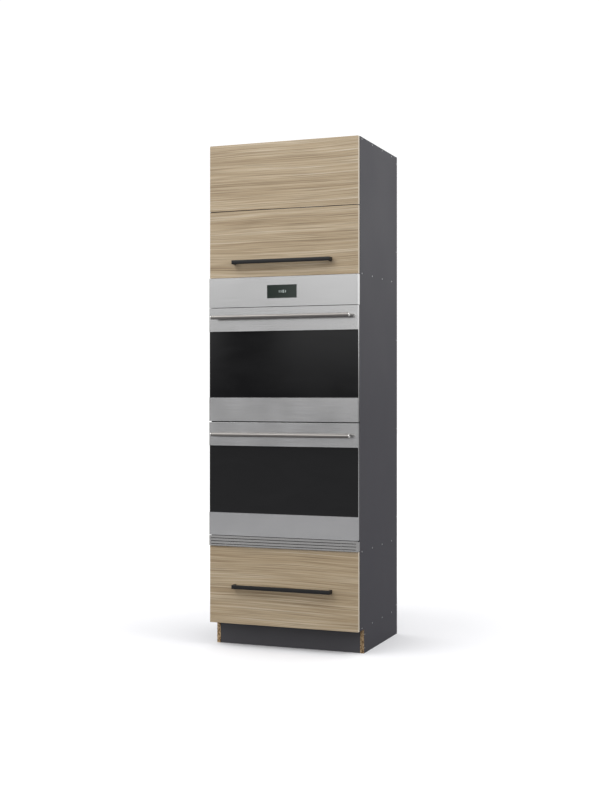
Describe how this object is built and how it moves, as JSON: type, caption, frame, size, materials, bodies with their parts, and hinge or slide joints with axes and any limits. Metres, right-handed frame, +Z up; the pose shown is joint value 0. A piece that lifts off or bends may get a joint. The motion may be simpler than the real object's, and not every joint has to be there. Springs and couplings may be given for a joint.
{
  "type": "tall oven housing unit",
  "caption": "Tall kitchen unit with a built-in double oven, a bi-fold lift-up flap above, a drawer below and a recessed plinth.",
  "frame": {"origin": "on the floor, in the middle of the footprint from the oven handles' front to the back", "axes": "+Z up, +Y from the front towards the wall, +X to the right seen from the front"},
  "size_m": [0.762, 0.681, 2.434],
  "materials": {
    "carcase_board": "graphite melamine-faced board, fine texture, banded edges",
    "plinth_board": "dark graphite melamine-faced board",
    "front_oak": "light greyish oak foil, horizontal grain, satin",
    "drawer_board": "light grey melamine-faced board",
    "screw_zinc": "zinc-plated screw heads",
    "pin_nickel": "nickel-plated shelf supports",
    "hinge_nickel": "nickel-plated sheet steel",
    "runner_zinc": "zinc-plated roll-formed steel",
    "lift_grey": "light grey moulded housing",
    "arm_steel": "plated flat steel",
    "handle_black": "matt black powder coat",
    "oven_steel": "stainless steel, brushed along its length",
    "tube_steel": "brushed tube",
    "oven_glass": "dark coated door glass",
    "display_glass": "dark display window with light digits",
    "galvanised": "galvanised sheet",
    "frame_dark": "dark enamelled steel",
    "cavity_enamel": "dark blue-grey vitreous enamel",
    "liner_enamel": "dark vitreous enamel",
    "seal_rubber": "woven heat-proof gasket",
    "rack_chrome": "chrome-plated wire",
    "element_steel": "oxidised sheathed heating tube",
    "fan_aluminium": "pressed sheet impeller",
    "motor_black": "motor can"
  },
  "bodies": {
    "root": {"side_panel_left": "carcase_board", "side_panel_right": "carcase_board", "top_panel": "carcase_board", "bottom_panel": "carcase_board", "oven_shelf": "carcase_board", "upper_shelf": "carcase_board", "back_panel": "carcase_board", "plinth_board": "plinth_board", "adjustable_shelf": "carcase_board", "shelf_pins": "pin_nickel", "panel_screws": "screw_zinc", "flap_hinge_fixed_leaves": "hinge_nickel", "lift_boxes": "lift_grey", "runner_rails": "runner_zinc", "oven_casing": "galvanised", "oven_front_frame": "frame_dark", "door_hinge_lugs": "hinge_nickel", "control_fascia": "oven_steel", "display_window": "display_glass", "cavity_upper": "cavity_enamel", "cavity_lower": "cavity_enamel", "vent_trim": "oven_steel", "door_seals": "seal_rubber", "fan_covers": "cavity_enamel", "broil_elements": "element_steel", "fan_motors": "motor_black"},
    "flap_upper": {"flap_front_upper": "front_oak", "flap_hinge_moving_leaves": "hinge_nickel", "centre_hinge_upper_leaves": "hinge_nickel"},
    "flap_lower": {"flap_front_lower": "front_oak", "flap_handle": "handle_black", "flap_handle_screws": "screw_zinc", "centre_hinge_lower_leaves": "hinge_nickel", "lift_arm_brackets": "arm_steel"},
    "lift_arm_left": {"lift_arm_left": "arm_steel"},
    "lift_arm_right": {"lift_arm_right": "arm_steel"},
    "drawer": {"drawer_front": "front_oak", "drawer_handle": "handle_black", "drawer_handle_screws": "screw_zinc", "drawer_side_left": "drawer_board", "drawer_side_right": "drawer_board", "drawer_back": "drawer_board", "drawer_base": "drawer_board", "runner_slides": "runner_zinc"},
    "runner_middle_left": {"runner_middle_left": "runner_zinc"},
    "runner_middle_right": {"runner_middle_right": "runner_zinc"},
    "oven_door_upper": {"door_frame_upper": "oven_steel", "door_panes_upper": "oven_glass", "door_liner_upper": "liner_enamel", "door_handle_upper": "tube_steel"},
    "rack_upper": {"rack_upper": "rack_chrome"},
    "fan_upper": {"fan_upper": "fan_aluminium"},
    "oven_door_lower": {"door_frame_lower": "oven_steel", "door_panes_lower": "oven_glass", "door_liner_lower": "liner_enamel", "door_handle_lower": "tube_steel"},
    "rack_lower": {"rack_lower": "rack_chrome"},
    "fan_lower": {"fan_lower": "fan_aluminium"}
  },
  "joints": [
    {"name": "flap_upper_hinge", "type": "hinge", "parent": "root", "child": "flap_upper", "pos_m": [0, -0.26173, 2.431], "axis": [-1, 0, 0], "range_deg": [0, 100]},
    {"name": "flap_fold_hinge", "type": "hinge", "parent": "flap_upper", "child": "flap_lower", "pos_m": [0, -0.26173, 2.11025], "axis": [1, 0, 0], "range_deg": [0, 100]},
    {"name": "lift_arm_left_pivot", "type": "hinge", "parent": "root", "child": "lift_arm_left", "pos_m": [-0.3335, -0.22673, 2.371], "axis": [-1, 0, 0], "range_deg": [0, 100]},
    {"name": "lift_arm_right_pivot", "type": "hinge", "parent": "root", "child": "lift_arm_right", "pos_m": [0.3335, -0.22673, 2.371], "axis": [-1, 0, 0], "range_deg": [0, 100]},
    {"name": "drawer_slide", "type": "slide", "parent": "root", "child": "drawer", "axis": [0, -1, 0], "range_m": [0, 0.48]},
    {"name": "runner_left_slide", "type": "slide", "parent": "root", "child": "runner_middle_left", "axis": [0, -1, 0], "range_m": [0, 0.24]},
    {"name": "runner_right_slide", "type": "slide", "parent": "root", "child": "runner_middle_right", "axis": [0, -1, 0], "range_m": [0, 0.24]},
    {"name": "oven_door_upper_hinge", "type": "hinge", "parent": "root", "child": "oven_door_upper", "pos_m": [0, -0.27878, 1.105], "axis": [1, 0, 0], "range_deg": [0, 90]},
    {"name": "rack_upper_slide", "type": "slide", "parent": "root", "child": "rack_upper", "axis": [0, -1, 0], "range_m": [0, 0.1733]},
    {"name": "fan_upper_spin", "type": "hinge", "parent": "root", "child": "fan_upper", "pos_m": [0, 0.20902, 1.384], "axis": [0, 1, 0], "continuous": true},
    {"name": "oven_door_lower_hinge", "type": "hinge", "parent": "root", "child": "oven_door_lower", "pos_m": [0, -0.27878, 0.552], "axis": [1, 0, 0], "range_deg": [0, 90]},
    {"name": "rack_lower_slide", "type": "slide", "parent": "root", "child": "rack_lower", "axis": [0, -1, 0], "range_m": [0, 0.1733]},
    {"name": "fan_lower_spin", "type": "hinge", "parent": "root", "child": "fan_lower", "pos_m": [0, 0.20902, 0.831], "axis": [0, 1, 0], "continuous": true}
  ],
  "couplings": [
    {"joint": "flap_fold_hinge", "follows": "flap_upper_hinge", "ratio": 1},
    {"joint": "lift_arm_left_pivot", "follows": "flap_upper_hinge", "ratio": 1},
    {"joint": "lift_arm_right_pivot", "follows": "flap_upper_hinge", "ratio": 1},
    {"joint": "runner_left_slide", "follows": "drawer_slide", "ratio": 0.5},
    {"joint": "runner_right_slide", "follows": "drawer_slide", "ratio": 0.5},
    {"joint": "rack_upper_slide", "follows": "oven_door_upper_hinge", "m_per_rad": 0.11},
    {"joint": "rack_lower_slide", "follows": "oven_door_lower_hinge", "m_per_rad": 0.11}
  ]
}
